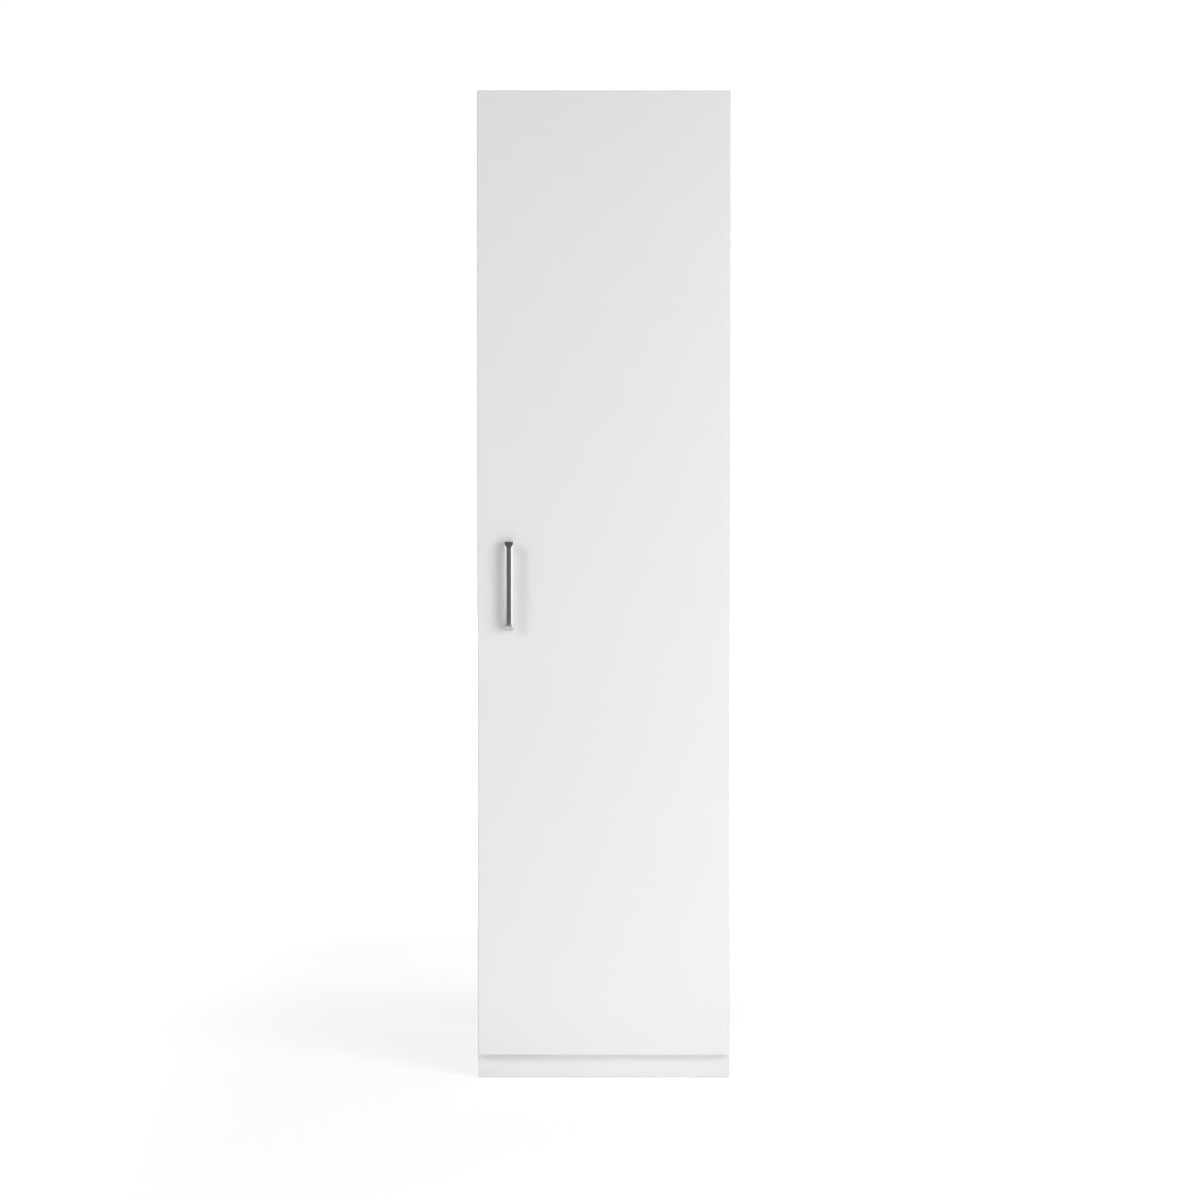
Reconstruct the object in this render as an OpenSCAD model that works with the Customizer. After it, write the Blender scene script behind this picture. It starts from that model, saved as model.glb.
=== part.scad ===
// Tall one-door utility cupboard, in millimetres. +Z is up, the door faces -Y,
// and the origin is on the floor under the middle of the whole envelope.

/* [Carcass] */
// Overall width over the two side panels
body_w = 500; // [450:10:600]
// Depth of the carcass, without the door
body_d = 580; // [500:10:600]
// Overall height from the floor to the top panel
body_h = 1955; // [1900:5:2050]
// Thickness of the carcass boards
board_t = 16; // [16:1:18]
// Height of the plinth below the bottom panel
plinth_h = 50; // [46:1:60]
// How far the plinth board stands back from the front edges of the sides
plinth_setback = 0; // [0:0.5:6]
// Thickness of the hardboard back
back_t = 3; // [3:0.2:3.2]
// How far the floor glides stand out below the side panels
glide_h = 1; // [1:0.5:3]

/* [Shelves] */
// Height of the fixed middle shelf's underside
fixed_shelf_z = 986; // [960:2:1020]
// Height of the lower shelf's underside
lower_shelf_z = 526; // [480:2:600]
// Height of the middle shelf's underside
middle_shelf_z = 1360; // [1352:2:1400]
// Height of the upper shelf's underside
upper_shelf_z = 1650; // [1600:2:1700]
// Distance of the adjustable shelves' front edge behind the carcass front
shelf_setback = 20; // [15:1:30]

/* [Door] */
// Thickness of the door
door_t = 18; // [18:0.5:19]
// Gap between the closed door and the carcass
door_gap = 3; // [3:0.5:4]
// Width of carcass edge left visible on each side of the door
side_reveal = 1.5; // [1:0.5:2]
// Height of carcass edge left visible above the door
top_reveal = 2; // [1:0.5:3]
// Radius of the door's edges
door_edge_r = 1.5; // [1:0.25:2]

/* [Handle] */
// Distance between the handle's screws
handle_pitch = 160; // [128:32:192]
// Length of the handle beyond the screws' distance, and thickness of its posts
handle_over = 14; // [13:1:16]
// Width of the handle
handle_w = 17; // [15:1:18]
// How far the handle stands out from the door
handle_proj = 29; // [28:1:34]
// Width of the handle's front facet at its middle
handle_facet = 8.7; // [7:0.1:10]
// Distance of the handle's centre line from the door's free edge
handle_edge = 62; // [40:1:80]
// Height of the handle's middle above the floor
handle_z = 979.5; // [940:0.5:1010]

/* [Hinges] */
// Depth of the hinge cups in the door
cup_depth = 13.5; // [13.5:0.1:14]
// Width of the hinge arms
arm_w = 12; // [10:0.5:12]

/* [Hidden] */
$fn = 48;
e = 0.5;                                  // how far a cutter runs past a face

white = "#f4f4f3";
chrome = "#c9ccd0";
zinc = "#aab0b6";
nickel = "#b9bcbd";
beech = "#d9b98a";
clear = "#dfe5e6";

// Envelope: the handle is the front limit and the sides' rear edges the back one.
total_d = handle_proj + door_t + door_gap + body_d;
yf = -total_d / 2 + handle_proj + door_t + door_gap;   // front plane of the carcass
yr = yf + body_d;                                      // rear plane of the carcass
xi = body_w / 2 - board_t;                             // inner face of each side
xo = body_w / 2;

// Carcass boards
bot_z = plinth_h;                          // underside of the bottom panel
bot_top = plinth_h + board_t;
top_z = body_h - board_t;                  // underside of the top panel
groove_d = 7;                              // depth of the groove that holds the back
groove_w = back_t + 0.3;
back_in = 12;                              // distance of the back from the rear edges
back_y = yr - back_in - back_t;            // front face of the back
seam_z = fixed_shelf_z + board_t / 2;      // joint between the two back halves
strip_leg = 1;
strip_h = 24;
shelf_back_y = back_y - strip_leg - 0.3;   // rear edge of every shelf

// Knock-down fittings
cam_in = 34;                               // cam centre from the panel's end
cam_r = 7.5;
cam_d = 12.5;                              // depth of the cam bore
cam_bolt_y = [yf + 50, yr - 82];
dowel_y = [yf + 114, yr - 146];
dowel_r = 4;
dowel_side = 11;
dowel_panel = 20;
plinth_dowel_z = [glide_h + 13, glide_h + 36];
plinth_rear_y = yr - 75;

// Shelf pins stand in two columns of holes on the 32 mm grid.
pin_y = [yf + 37, yf + 37 + 480];
pin_r = 2.5;
pin_hole_d = 10;
pin_steps = [-1, 0, 1, 2];
shelf_z = [lower_shelf_z, middle_shelf_z, upper_shelf_z];

// Door
door_w = body_w - 2 * side_reveal;
door_z0 = plinth_h;
door_z1 = body_h - top_reveal;
door_x1 = door_w / 2;                      // hinged edge
yi = yf - door_gap;                        // inner face of the door
yo = yi - door_t;                          // outer face of the door

// Hinges: the pin stands px, py, inside the door's thickness near its hinged edge.
pin_in = 8;                                // pin centre from the door's edge
pin_deep = 9.5;                            // pin centre from the door's inner face
px = door_x1 - pin_in;
py = yi - pin_deep;
cup_r = 17.5;
cup_in = 20.5;                             // cup centre from the door's edge
cup_x = door_x1 - cup_in;
pocket_x = 3.2;                            // pocket beyond the pin, all round
pocket_hw = arm_w / 2 + 0.4;
flange_t = 1.2;
cup_screw_x = cup_x - 9.5;
cup_screw_dz = 22.5;
hinge_pin_r = 1.5;
hinge_n = 4;
hinge_z = [for (i = [0 : hinge_n - 1]) floor(door_z0 + 100 + i * (door_z1 - door_z0 - 200) / (hinge_n - 1))];
plate_y = yf + 37;                         // screw line of the hinge plates
plate_dz = 16;
arm_x = px - 18;                           // outer face of the arm's channel
rail_x = arm_x + 2;                        // top of the plate's rail
adj_y = [yf + 33, yf + 62];                // the arm's two adjusting screws

// Wall fixing
bracket_x = [-180, 180];
bracket_w = 36;
bracket_leg = 38;
bracket_foot = 28;
bracket_t = 2;
wall_hole_z = top_z - 25;
wall_hole_r = 3;

// Handle
handle_x = -door_x1 + handle_edge;
handle_hl = handle_pitch / 2 + handle_over / 2;
handle_slope = 11;
post_t = handle_over;

// ---------- helpers ----------

module box(x0, x1, y0, y1, z0, z1) {
    translate([x0, y0, z0]) cube([x1 - x0, y1 - y0, z1 - z0]);
}

// A round bar or bore along X from x0 to x1.
module rod_x(x0, x1, y, z, r) {
    translate([x0, y, z]) rotate([0, 90, 0]) cylinder(r = r, h = x1 - x0);
}

// A round bar or bore along Y from y0 to y1.
module rod_y(x, y0, y1, z, r) {
    translate([x, y1, z]) rotate([90, 0, 0]) cylinder(r = r, h = y1 - y0);
}

// A round bar or bore along Z from z0 to z1.
module rod_z(x, y, z0, z1, r) {
    translate([x, y, z0]) cylinder(r = r, h = z1 - z0);
}

// A rectangle w by h about its own centre, with round corners.
module round_rect(w, h, r) {
    union() {
        square([w - 2 * r, h], center = true);
        square([w, h - 2 * r], center = true);
        for (i = [-1, 1], j = [-1, 1]) translate([i * (w / 2 - r), j * (h / 2 - r)]) circle(r = r);
    }
}

// ---------- carcass boards ----------

// A bore of depth d into a side's inner face: s is -1 for the left side and 1 for the right one.
module side_bore(s, y, z, r, d) {
    rod_x(s > 0 ? xi - e : -xi - d, s > 0 ? xi + d : -xi + e, y, z, r);
}

// A bore of depth d into the end of a board that lies between the sides.
module end_bore(s, y, z, r, d) {
    rod_x(s > 0 ? xi - d : -xi - e, s > 0 ? xi + e : -xi + d, y, z, r);
}

module side_holes(s) {
    // dowels and cam bolts of the three panels that are fixed
    for (z = [bot_z, fixed_shelf_z, top_z]) {
        for (y = dowel_y) side_bore(s, y, z + board_t / 2, dowel_r, dowel_side);
        for (y = cam_bolt_y) side_bore(s, y, z + board_t / 2, 2.5, 11);
    }
    // dowels of the plinth boards
    for (y = [yf + plinth_setback + board_t / 2, plinth_rear_y + board_t / 2], z = plinth_dowel_z)
        side_bore(s, y, z, dowel_r, dowel_side);
    // shelf pin holes
    for (z = shelf_z, k = pin_steps, y = pin_y) side_bore(s, y, z - pin_r + 32 * k, pin_r, pin_hole_d);
}

module side(s) {
    difference() {
        box(s > 0 ? xi : -xo, s > 0 ? xo : -xi, yf, yr, glide_h, body_h);
        side_holes(s);
        // groove for the back
        box(s > 0 ? xi - e : -xi - groove_d, s > 0 ? xi + groove_d : -xi + e,
            back_y - 0.15, back_y - 0.15 + groove_w, bot_z, body_h + e);
        // bores for the stems of the floor glides
        for (y = [yf + 40, yr - 40]) rod_z(s * (xi + board_t / 2), y, glide_h - e, glide_h + 14, 3);
        if (s > 0) for (z = hinge_z, d = [-plate_dz, plate_dz]) side_bore(s, plate_y, z + d, 2.5, 11);
    }
}

module left_side() { color(white) side(-1); }
module right_side() { color(white) side(1); }

// Edge bores of a fixed panel whose underside is at z, and its cam bores cut from above or below.
module panel_bores(z, from_top) {
    for (s = [-1, 1]) {
        for (y = dowel_y) end_bore(s, y, z + board_t / 2, dowel_r, dowel_panel);
        for (y = cam_bolt_y) {
            end_bore(s, y, z + board_t / 2, 4, cam_in);
            if (from_top) rod_z(s * (xi - cam_in), y, z + board_t - cam_d, z + board_t + e, cam_r);
            else rod_z(s * (xi - cam_in), y, z - e, z + cam_d, cam_r);
        }
    }
}

module top_panel() {
    color(white) difference() {
        box(-xi, xi, yf, yr, top_z, body_h);
        panel_bores(top_z, true);
        box(-xi - e, xi + e, back_y - 0.15, back_y - 0.15 + groove_w, top_z - e, top_z + groove_d);
        // pilot holes for the wall brackets
        for (x = bracket_x, d = [-10, 10]) rod_z(x + d, back_y - 16, top_z - e, top_z + 13, 1.8);
    }
}

module bottom_panel() {
    color(white) difference() {
        box(-xi, xi, yf, yr, bot_z, bot_top);
        panel_bores(bot_z, false);
        box(-xi - e, xi + e, back_y - 0.15, back_y - 0.15 + groove_w, bot_top - groove_d, bot_top + e);
    }
}

module fixed_shelf() {
    color(white) difference() {
        box(-xi, xi, yf + 2, shelf_back_y, fixed_shelf_z, fixed_shelf_z + board_t);
        panel_bores(fixed_shelf_z, false);
    }
}

module adjustable_shelf(z) {
    color(white) box(-xi + 1, xi - 1, yf + shelf_setback, shelf_back_y, z, z + board_t);
}
module shelf_lower() { adjustable_shelf(lower_shelf_z); }
module shelf_middle() { adjustable_shelf(middle_shelf_z); }
module shelf_upper() { adjustable_shelf(upper_shelf_z); }

module back_panel_lower() {
    color(white) box(-xi - groove_d + 0.4, xi + groove_d - 0.4, back_y, back_y + back_t,
                     bot_top - groove_d + 0.4, seam_z - 0.6);
}

module back_panel_upper() {
    color(white) difference() {
        box(-xi - groove_d + 0.4, xi + groove_d - 0.4, back_y, back_y + back_t,
            seam_z + 0.6, top_z + groove_d - 0.4);
        // the wall screws pass through here
        for (x = bracket_x) rod_y(x, back_y - e, back_y + back_t + e, wall_hole_z, 4);
    }
}

// H profile that joins the two halves of the back.
module back_joining_strip() {
    color(white) union() {
        box(-xi + 0.3, xi - 0.3, back_y - strip_leg, back_y, seam_z - strip_h / 2, seam_z + strip_h / 2);
        box(-xi + 0.3, xi - 0.3, back_y + back_t, back_y + back_t + strip_leg, seam_z - strip_h / 2, seam_z + strip_h / 2);
        box(-xi + 0.3, xi - 0.3, back_y - e, back_y + back_t + e, seam_z - 0.6, seam_z + 0.6);
    }
}

module plinth_board(y) {
    color(white) difference() {
        box(-xi, xi, y, y + board_t, glide_h, bot_z);
        for (s = [-1, 1], z = plinth_dowel_z) end_bore(s, y + board_t / 2, z, dowel_r, dowel_panel);
    }
}
module plinth_front() { plinth_board(yf + plinth_setback); }
module plinth_rear() { plinth_board(plinth_rear_y); }

// ---------- fittings of the carcass ----------

// One cam housing in its bore, open towards the bolt on the side s.
module cam_housing(z, from_top, s, y) {
    x = s * (xi - cam_in);
    z0 = from_top ? z + board_t - cam_d : z + 0.9;
    z1 = from_top ? z + board_t - 0.9 : z + cam_d;
    face = from_top ? z1 : z0;
    difference() {
        rod_z(x, y, z0, z1, cam_r - 0.05);
        // way in for the bolt's head
        rod_x(s > 0 ? x - 4.5 : x - 10, s > 0 ? x + 10 : x + 4.5, y, z + board_t / 2, 3.5);
        // cross recess for the driver
        for (a = [45, 135]) translate([x, y, face]) rotate([0, 0, a]) cube([8, 1.2, 5], center = true);
    }
}

module cam_housings() {
    color(zinc) for (z = [bot_z, fixed_shelf_z, top_z], s = [-1, 1], y = cam_bolt_y)
        cam_housing(z, z == top_z, s, y);
}

module cam_bolt(z, s, y) {
    zc = z + board_t / 2;
    translate([s * xi, y, zc]) rotate([0, -90 * s, 0]) {
        // +Z now runs from the side panel into the horizontal board
        union() {
            translate([0, 0, -10.5]) cylinder(r = 2.45, h = 10.6);
            cylinder(r = 3.7, h = 1.5);
            cylinder(r = 2.9, h = 26);
            cylinder(r = 1.9, h = cam_in - 1);
            translate([0, 0, cam_in - 3]) cylinder(r = 3, h = 4.2);
        }
    }
}

module cam_bolts() {
    color(zinc) for (z = [bot_z, fixed_shelf_z, top_z], s = [-1, 1], y = cam_bolt_y) cam_bolt(z, s, y);
}

// Covers pressed into the cam bores that can be seen.
module cam_caps() {
    color(white) for (s = [-1, 1], y = cam_bolt_y) {
        rod_z(s * (xi - cam_in), y, body_h - 0.8, body_h, cam_r - 0.1);
        rod_z(s * (xi - cam_in), y, fixed_shelf_z, fixed_shelf_z + 0.8, cam_r - 0.1);
    }
}

module dowels() {
    color(beech) for (s = [-1, 1]) {
        for (z = [bot_z, fixed_shelf_z, top_z], y = dowel_y)
            rod_x(s > 0 ? xi - dowel_panel + 0.5 : -xi - dowel_side + 0.5,
                  s > 0 ? xi + dowel_side - 0.5 : -xi + dowel_panel - 0.5, y, z + board_t / 2, dowel_r - 0.05);
        for (z = plinth_dowel_z, y = [yf + plinth_setback + board_t / 2, plinth_rear_y + board_t / 2])
            rod_x(s > 0 ? xi - dowel_panel + 0.5 : -xi - dowel_side + 0.5,
                  s > 0 ? xi + dowel_side - 0.5 : -xi + dowel_panel - 0.5, y, z, dowel_r - 0.05);
    }
}

// A stamped shelf support: a stem in the side, a plate against it and a tab under the shelf.
module shelf_pin(s, y, z) {
    translate([s * xi, y, z - pin_r]) rotate([0, 0, s > 0 ? 180 : 0]) union() {
        rotate([0, -90, 0]) cylinder(r = pin_r - 0.05, h = 9.3);
        translate([0, -5, -8]) cube([0.9, 10, 8 + pin_r]);
        translate([0, -5, pin_r - 1.8]) cube([11, 10, 1.8]);
    }
}

module shelf_pins() {
    color(nickel) for (z = shelf_z, y = pin_y, s = [-1, 1]) shelf_pin(s, y, z);
}

module floor_glides() {
    color(white) for (s = [-1, 1], y = [yf + 40, yr - 40]) union() {
        rod_z(s * (xi + board_t / 2), y, 0, glide_h, 7);
        rod_z(s * (xi + board_t / 2), y, 0, glide_h + 13, 2.95);
    }
}

module wall_brackets() {
    color(zinc) for (x = bracket_x) difference() {
        union() {
            box(x - bracket_w / 2, x + bracket_w / 2, back_y - bracket_t, back_y, top_z - bracket_leg, top_z);
            box(x - bracket_w / 2, x + bracket_w / 2, back_y - bracket_foot, back_y, top_z - bracket_t, top_z);
        }
        rod_y(x, back_y - bracket_t - e, back_y + e, wall_hole_z, wall_hole_r);
        for (d = [-10, 10]) rod_z(x + d, back_y - 16, top_z - bracket_t - e, top_z + e, 2);
    }
}

// A pan-head screw: its head's top is at the origin and its shank points up.
module screw_up(head_r, head_h, r, l) {
    difference() {
        union() {
            cylinder(r = head_r, h = head_h);
            cylinder(r = r, h = head_h + l);
        }
        for (a = [0, 90]) rotate([0, 0, a]) cube([head_r * 1.1, 0.9, 1.6], center = true);
    }
}

module wall_bracket_screws() {
    color(zinc) for (x = bracket_x, d = [-10, 10])
        translate([x + d, back_y - 16, top_z - bracket_t - 2]) screw_up(3.8, 2, 1.75, bracket_t + 12);
}

// ---------- hinges: the half that is fixed to the right side ----------

module hinge_plates() {
    color(zinc) for (z = hinge_z) difference() {
        union() {
            // wings against the side
            box(xi - 2, xi, plate_y - 6.5, plate_y + 6.5, z - 20, z + 20);
            for (d = [-20, 20]) rod_x(xi - 2, xi, plate_y, z + d, 6.5);
            // foot under the rail
            box(xi - 2, xi, yf + 21, yf + 82, z - arm_w / 2 - 1.5, z + arm_w / 2 + 1.5);
            // rail that carries the arm
            box(rail_x + 0.2, xi - 1, yf + 24, yf + 80, z - arm_w / 2, z + arm_w / 2);
        }
        for (d = [-plate_dz, plate_dz]) rod_x(xi - 2 - e, xi + e, plate_y, z + d, 2.6);
        for (y = adj_y) rod_x(rail_x - 1, xi - 3, y, z, 2);
    }
}

module hinge_plate_screws() {
    color(zinc) for (z = hinge_z, d = [-plate_dz, plate_dz])
        translate([xi - 4, plate_y, z + d]) rotate([0, 90, 0]) screw_up(4, 2, 2.45, 12.5);
}

// Cranked finger in plan: a runs from the pin to the left and b into the carcass.
module finger_plan() {
    difference() {
        union() {
            circle(r = 2.8);
            polygon([[0, -2.5], [13.3, -2.5], [14.8, -1.9], [15.5, -0.4], [15.5, 13], [18, 20], [18, 34], [15, 34],
                     [15, 20.4], [12.5, 13.4], [12.5, 2.6], [11.9, 1.1], [10.4, 0.5], [0, 0.5]]);
        }
        circle(r = hinge_pin_r + 0.05);
    }
}

module hinge_arms() {
    color(nickel) for (z = hinge_z) difference() {
        union() {
            translate([px, py, z - arm_w / 2]) mirror([1, 0, 0]) linear_extrude(height = arm_w) finger_plan();
            // channel over the rail
            box(arm_x, arm_x + 1.8, py + 26, yf + 84, z - arm_w / 2 - 1.8, z + arm_w / 2 + 1.8);
            for (s = [-1, 1]) translate([0, 0, z + s * (arm_w / 2 + 1.05)])
                box(arm_x, xi - 2.6, py + 26, yf + 84, -0.75, 0.75);
        }
        for (y = adj_y) rod_x(arm_x - e, arm_x + 1.8 + e, y, z, 2.3);
    }
}

module hinge_adjust_screws() {
    color(zinc) for (z = hinge_z, y = adj_y)
        translate([arm_x - 2, y, z]) rotate([0, 90, 0]) screw_up(3.4, 2, 1.95, 8);
}

// ---------- door ----------

module door() {
    color(white) difference() {
        intersection() {
            translate([0, (yo + yi) / 2, door_z0]) linear_extrude(height = door_z1 - door_z0)
                round_rect(door_w, door_t, door_edge_r);
            translate([-door_w / 2, (yo + yi) / 2, (door_z0 + door_z1) / 2]) rotate([0, 90, 0])
                linear_extrude(height = door_w) round_rect(door_z1 - door_z0, door_t, door_edge_r);
        }
        for (z = hinge_z) {
            rod_y(cup_x, yi - cup_depth, yi + e, z, cup_r);
            for (d = [-cup_screw_dz, cup_screw_dz]) rod_y(cup_screw_x, yi - 12, yi + e, z + d, 1.8);
        }
        for (d = [-1, 1]) rod_y(handle_x, yo - e, yi + e, handle_z + d * handle_pitch / 2, 2.25);
    }
}

// Side profile of the handle, x towards the room and y along its length.
module handle_side() {
    l = handle_hl;
    p = handle_proj;
    difference() {
        polygon([[0, -l], [p - 10, -l], [p, -l + handle_slope], [p, l - handle_slope], [p - 10, l], [0, l]]);
        polygon([[-1, -l + post_t], [p - 13, -l + post_t], [p - 8, -l + post_t + 6], [p - 8, l - post_t - 6],
                 [p - 13, l - post_t], [-1, l - post_t]]);
    }
}

// One long edge of the bar, cut at 45 degrees from end to end; it dies out on the sloped ends.
module handle_bevel(s) {
    c = (handle_w - handle_facet) / 2;
    translate([s * (handle_w / 2 - c), -handle_proj, 0]) rotate([0, 0, s * 45])
        translate([-12, -30, -handle_hl - 1]) cube([30, 30, 2 * handle_hl + 2]);
}

module handle() {
    color(chrome) translate([handle_x, yo, handle_z]) difference() {
        translate([handle_w / 2, 0, 0]) rotate([90, 0, -90])
            linear_extrude(height = handle_w) handle_side();
        handle_bevel(1);
        handle_bevel(-1);
        for (d = [-1, 1]) rod_y(0, -14, e, d * handle_pitch / 2, 2);
    }
}

module handle_screws() {
    color(zinc) for (d = [-1, 1]) translate([handle_x, yi + 2.4, handle_z + d * handle_pitch / 2])
        rotate([90, 0, 0]) screw_up(4, 2.4, 1.95, door_t + 12);
}

// ---------- hinges: the half that is fixed to the door ----------

module hinge_cups() {
    color(nickel) for (z = hinge_z) difference() {
        union() {
            rod_y(cup_x, yi - cup_depth + 0.05, yi + flange_t, z, cup_r - 0.05);
            rod_y(cup_x, yi, yi + flange_t, z, cup_r + 0.5);
            // wings for the screws
            box(cup_screw_x - 6, cup_screw_x + 6, yi, yi + flange_t, z - cup_screw_dz, z + cup_screw_dz);
            for (d = [-cup_screw_dz, cup_screw_dz]) rod_y(cup_screw_x, yi, yi + flange_t, z + d, 6);
        }
        // pocket for the arm between two cheeks that hold the pin
        box(cup_x - 13, px + pocket_x, py - pocket_x, yi + flange_t + e, z - pocket_hw, z + pocket_hw);
        intersection() {
            rod_y(cup_x, py - pocket_x, yi + flange_t + e, z, cup_r - 2);
            box(cup_x - cup_r, px - 5, py - pocket_x, yi + flange_t + e, z - cup_r, z + cup_r);
        }
        rod_z(px, py, z - 9.95, z + 9.95, hinge_pin_r + 0.03);
        for (d = [-cup_screw_dz, cup_screw_dz]) rod_y(cup_screw_x, yi - e, yi + flange_t + e, z + d, 2);
    }
}

module hinge_cup_screws() {
    color(zinc) for (z = hinge_z, d = [-cup_screw_dz, cup_screw_dz])
        translate([cup_screw_x, yi + flange_t + 1.4, z + d]) rotate([90, 0, 0]) screw_up(3.6, 1.4, 1.75, flange_t + 11);
}

module hinge_pins() {
    color(zinc) for (z = hinge_z) rod_z(px, py, z - 9.9, z + 9.9, hinge_pin_r);
}

// Soft stops near the free edge, which stay just clear of the carcass.
module door_buffers() {
    color(clear) for (z = [door_z0 + 30, (door_z0 + door_z1) / 2 + 60, door_z1 - 30])
        rod_y(-xi - board_t / 2 + 0.5, yi, yi + door_gap - 0.8, z, 4);
}

left_side();
right_side();
top_panel();
bottom_panel();
fixed_shelf();
shelf_lower();
shelf_middle();
shelf_upper();
back_panel_lower();
back_panel_upper();
back_joining_strip();
plinth_front();
plinth_rear();
cam_housings();
cam_bolts();
cam_caps();
dowels();
shelf_pins();
floor_glides();
wall_brackets();
wall_bracket_screws();
hinge_plates();
hinge_plate_screws();
hinge_arms();
hinge_adjust_screws();
door();
handle();
handle_screws();
hinge_cups();
hinge_cup_screws();
hinge_pins();
door_buffers();
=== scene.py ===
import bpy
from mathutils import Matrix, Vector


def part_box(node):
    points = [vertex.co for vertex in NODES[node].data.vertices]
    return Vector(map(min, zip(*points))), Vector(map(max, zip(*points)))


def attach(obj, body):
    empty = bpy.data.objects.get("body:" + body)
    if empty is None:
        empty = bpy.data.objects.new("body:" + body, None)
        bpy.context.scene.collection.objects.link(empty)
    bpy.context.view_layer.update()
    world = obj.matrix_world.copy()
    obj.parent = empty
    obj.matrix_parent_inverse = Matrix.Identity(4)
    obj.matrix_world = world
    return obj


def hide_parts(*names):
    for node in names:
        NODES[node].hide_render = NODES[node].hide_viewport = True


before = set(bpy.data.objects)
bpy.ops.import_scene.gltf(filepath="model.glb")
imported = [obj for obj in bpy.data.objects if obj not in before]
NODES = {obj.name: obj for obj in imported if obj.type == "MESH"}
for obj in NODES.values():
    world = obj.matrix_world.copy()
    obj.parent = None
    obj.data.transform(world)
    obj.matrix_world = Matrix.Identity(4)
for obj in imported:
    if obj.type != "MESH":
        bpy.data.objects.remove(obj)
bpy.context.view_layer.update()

import math

import bmesh
import bpy
from mathutils import Matrix, Vector

scene = bpy.context.scene


# ------------------------------------------------------------------ node helpers

class Tree:
    """A material's node tree with short calls for the nodes used here."""

    def __init__(self, name):
        self.mat = bpy.data.materials.new(name)
        self.mat.use_nodes = True
        self.nt = self.mat.node_tree
        self.nt.nodes.clear()
        self.out = self.add("ShaderNodeOutputMaterial")
        self.bsdf = self.add("ShaderNodeBsdfPrincipled")
        self.link(self.bsdf.outputs["BSDF"], self.out.inputs["Surface"])
        self.coord = self.add("ShaderNodeTexCoord")

    def add(self, kind, **props):
        n = self.nt.nodes.new(kind)
        for k, v in props.items():
            setattr(n, k, v)
        return n

    def link(self, a, b):
        self.nt.links.new(a, b)

    def put(self, sock, value):
        """Links a socket or sets a constant."""
        if isinstance(value, bpy.types.NodeSocket):
            self.link(value, sock)
        elif value is not None:
            sock.default_value = value

    def pos(self, scale=(1, 1, 1), offset=(0, 0, 0), rot=(0, 0, 0)):
        m = self.add("ShaderNodeMapping")
        self.link(self.coord.outputs["Object"], m.inputs["Vector"])
        m.inputs["Location"].default_value = offset
        m.inputs["Rotation"].default_value = rot
        m.inputs["Scale"].default_value = scale
        return m.outputs["Vector"]

    def noise(self, vec, scale, detail=2.0, rough=0.5, distortion=0.0):
        n = self.add("ShaderNodeTexNoise")
        self.put(n.inputs["Vector"], vec)
        n.inputs["Scale"].default_value = scale
        n.inputs["Detail"].default_value = detail
        n.inputs["Roughness"].default_value = rough
        n.inputs["Distortion"].default_value = distortion
        return n.outputs["Fac"]

    def voronoi(self, vec, scale, feature="F1", randomness=1.0, out="Distance"):
        n = self.add("ShaderNodeTexVoronoi", feature=feature)
        self.put(n.inputs["Vector"], vec)
        n.inputs["Scale"].default_value = scale
        n.inputs["Randomness"].default_value = randomness
        return n.outputs[out]

    def wave(self, vec, scale, axis="X", distortion=0.0, detail=2.0, dscale=1.0):
        n = self.add("ShaderNodeTexWave", bands_direction=axis)
        self.put(n.inputs["Vector"], vec)
        n.inputs["Scale"].default_value = scale
        n.inputs["Distortion"].default_value = distortion
        n.inputs["Detail"].default_value = detail
        n.inputs["Detail Scale"].default_value = dscale
        return n.outputs["Fac"]

    def math(self, op, a, b=None, c=None, clamp=False):
        n = self.add("ShaderNodeMath", operation=op, use_clamp=clamp)
        for i, v in enumerate((a, b, c)):
            if v is not None:
                self.put(n.inputs[i], v)
        return n.outputs[0]

    def remap(self, v, a0, a1, b0, b1, smooth=False):
        n = self.add("ShaderNodeMapRange", interpolation_type="SMOOTHSTEP" if smooth else "LINEAR")
        self.put(n.inputs["Value"], v)
        for k, x in zip(("From Min", "From Max", "To Min", "To Max"), (a0, a1, b0, b1)):
            n.inputs[k].default_value = x
        return n.outputs["Result"]

    def ramp(self, v, stops):
        n = self.add("ShaderNodeValToRGB")
        els = n.color_ramp.elements
        while len(els) < len(stops):
            els.new(0.5)
        for e, (p, c) in zip(els, stops):
            e.position = p
            e.color = (*c, 1.0)
        self.put(n.inputs["Fac"], v)
        return n.outputs["Color"]

    def mix(self, fac, a, b):
        n = self.add("ShaderNodeMix", data_type="RGBA", blend_type="MIX")
        self.put(n.inputs["Factor"], fac)
        self.put(n.inputs[6], (*a, 1.0) if isinstance(a, tuple) else a)
        self.put(n.inputs[7], (*b, 1.0) if isinstance(b, tuple) else b)
        return n.outputs[2]

    def tone(self, fac, colour):
        """colour multiplied by fac, for small shifts of brightness."""
        n = self.add("ShaderNodeMix", data_type="RGBA", blend_type="MULTIPLY")
        n.inputs["Factor"].default_value = 1.0
        self.put(n.inputs[6], (*colour, 1.0) if isinstance(colour, tuple) else colour)
        g = self.add("ShaderNodeCombineColor")
        for k in ("Red", "Green", "Blue"):
            self.put(g.inputs[k], fac)
        self.link(g.outputs["Color"], n.inputs[7])
        return n.outputs[2]

    def split(self, vec):
        n = self.add("ShaderNodeSeparateXYZ")
        self.link(vec, n.inputs[0])
        return [n.outputs[i] for i in range(3)]

    def bump(self, height, strength, distance, normal=None):
        n = self.add("ShaderNodeBump")
        n.inputs["Strength"].default_value = strength
        n.inputs["Distance"].default_value = distance
        self.put(n.inputs["Height"], height)
        if normal is not None:
            self.link(normal, n.inputs["Normal"])
        return n.outputs["Normal"]

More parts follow.
